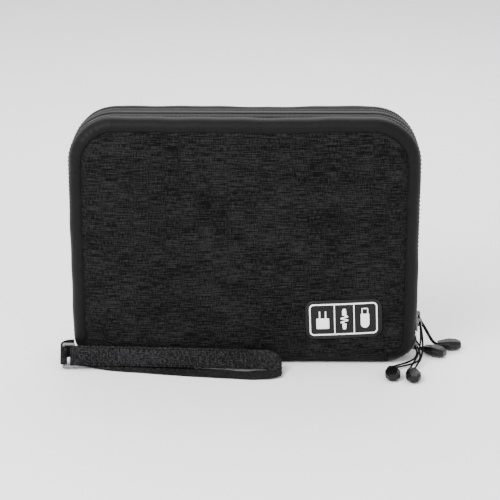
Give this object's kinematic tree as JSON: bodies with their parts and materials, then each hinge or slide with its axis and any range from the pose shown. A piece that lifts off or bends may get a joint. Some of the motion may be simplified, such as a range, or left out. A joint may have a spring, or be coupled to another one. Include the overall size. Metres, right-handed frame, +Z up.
{
  "type": "cable organizer pouch",
  "caption": "Soft double-layer travel pouch with two zipped compartments hinged at the bottom, rubber picture patch, corded zip pulls and a wrist strap.",
  "frame": {"origin": "middle of the flat bottom, on the surface the pouch stands on", "axes": "+X to the right along the width, front face towards -Y, +Z up"},
  "size_m": [0.2894, 0.0825, 0.1803],
  "materials": {
    "heather_fabric": "melange woven polyester, matt",
    "plain_nylon": "plain nylon with a soft sheen",
    "zip_tape": "woven twill tape",
    "zip_coil": "nylon coil",
    "gunmetal": "gunmetal plated, worn bright on edges",
    "pull_cord": "round braided cord",
    "pull_grip": "moulded rubber, semi-gloss",
    "badge_rubber": "soft moulded, satin",
    "badge_white": "soft moulded, satin",
    "pocket_mesh": "knitted mesh",
    "elastic": "woven elastic",
    "lining": "plain woven polyester",
    "foam": "closed-cell foam"
  },
  "bodies": {
    "front_cover": {"badge": "badge_rubber", "badge_inlay": "badge_white", "front_foam": "foam", "front_lining": "lining", "front_panel": "heather_fabric", "front_pocket_binding": "elastic", "front_pocket_mesh": "pocket_mesh", "front_rim": "plain_nylon", "front_zip_coil_outer": "zip_coil", "front_zip_tape_outer": "zip_tape", "strap_tab": "heather_fabric"},
    "middle_leaf": {"bottom_spine": "heather_fabric", "centre_gusset": "plain_nylon", "divider_board": "lining", "divider_pocket_binding": "elastic", "divider_pocket_mesh": "pocket_mesh", "elastic_loops_lower": "elastic", "elastic_loops_upper": "elastic", "front_zip_coil_inner": "zip_coil", "front_zip_tape_inner": "zip_tape", "rear_zip_coil_inner": "zip_coil", "rear_zip_tape_inner": "zip_tape", "zip_end_stops": "gunmetal"},
    "ring": {"d_ring": "gunmetal"},
    "front_pull_lower": {"front_pull_cord_lower": "pull_cord", "front_pull_grip_lower": "pull_grip"},
    "front_pull_upper": {"front_pull_cord_upper": "pull_cord", "front_pull_grip_upper": "pull_grip"},
    "front_zip_slider_lower": {"front_slider_lower": "gunmetal"},
    "front_zip_slider_upper": {"front_slider_upper": "gunmetal"},
    "rear_cover": {"rear_foam": "foam", "rear_lining": "lining", "rear_panel": "heather_fabric", "rear_pocket_binding": "elastic", "rear_pocket_mesh": "pocket_mesh", "rear_rim": "plain_nylon", "rear_zip_coil_outer": "zip_coil", "rear_zip_tape_outer": "zip_tape"},
    "rear_pull_lower": {"rear_pull_cord_lower": "pull_cord", "rear_pull_grip_lower": "pull_grip"},
    "rear_pull_upper": {"rear_pull_cord_upper": "pull_cord", "rear_pull_grip_upper": "pull_grip"},
    "rear_zip_slider_lower": {"rear_slider_lower": "gunmetal"},
    "rear_zip_slider_upper": {"rear_slider_upper": "gunmetal"},
    "strap": {"wrist_strap": "heather_fabric"}
  },
  "joints": [
    {"name": "front_cover_open", "type": "hinge", "parent": "middle_leaf", "child": "front_cover", "pos_m": [0, -0.008, 0], "axis": [1, 0, 0], "range_deg": [0, 110]},
    {"name": "rear_cover_open", "type": "hinge", "parent": "middle_leaf", "child": "rear_cover", "pos_m": [0, 0.008, 0], "axis": [-1, 0, 0], "range_deg": [0, 110]},
    {"name": "front_slider_upper_run", "type": "slide", "parent": "front_cover", "child": "front_zip_slider_upper", "axis": [0, 0, 1], "range_m": [0, 0.11]},
    {"name": "front_slider_lower_run", "type": "hinge", "parent": "front_cover", "child": "front_zip_slider_lower", "pos_m": [0.1025, -0.008, 0.02], "axis": [0, -1, 0], "range_deg": [0, 10]},
    {"name": "front_pull_upper_swing", "type": "hinge", "parent": "front_zip_slider_upper", "child": "front_pull_upper", "pos_m": [0.1259, -0.008, 0.0265], "axis": [0, -1, 0], "range_deg": [0, 90]},
    {"name": "front_pull_lower_swing", "type": "hinge", "parent": "front_zip_slider_lower", "child": "front_pull_lower", "pos_m": [0.12268, -0.008, 0.00835], "axis": [0, 1, 0], "range_deg": [0, 40]},
    {"name": "rear_slider_upper_run", "type": "slide", "parent": "rear_cover", "child": "rear_zip_slider_upper", "axis": [0, 0, 1], "range_m": [0, 0.11]},
    {"name": "rear_slider_lower_run", "type": "hinge", "parent": "rear_cover", "child": "rear_zip_slider_lower", "pos_m": [0.1025, 0.008, 0.02], "axis": [0, -1, 0], "range_deg": [0, 10]},
    {"name": "rear_pull_upper_swing", "type": "hinge", "parent": "rear_zip_slider_upper", "child": "rear_pull_upper", "pos_m": [0.1259, 0.008, 0.0265], "axis": [0, -1, 0], "range_deg": [0, 90]},
    {"name": "rear_pull_lower_swing", "type": "hinge", "parent": "rear_zip_slider_lower", "child": "rear_pull_lower", "pos_m": [0.12268, 0.008, 0.00835], "axis": [0, -1, 0], "range_deg": [0, 60]},
    {"name": "ring_swing", "type": "hinge", "parent": "front_cover", "child": "ring", "pos_m": [-0.1285, -0.0315, 0.0096], "axis": [0, -0.4226, -0.9063], "range_deg": [0, 60]},
    {"name": "strap_swing", "type": "hinge", "parent": "ring", "child": "strap", "pos_m": [-0.1216, -0.0315, 0.0096], "axis": [0, -0.4226, -0.9063], "range_deg": [0, 120]}
  ]
}
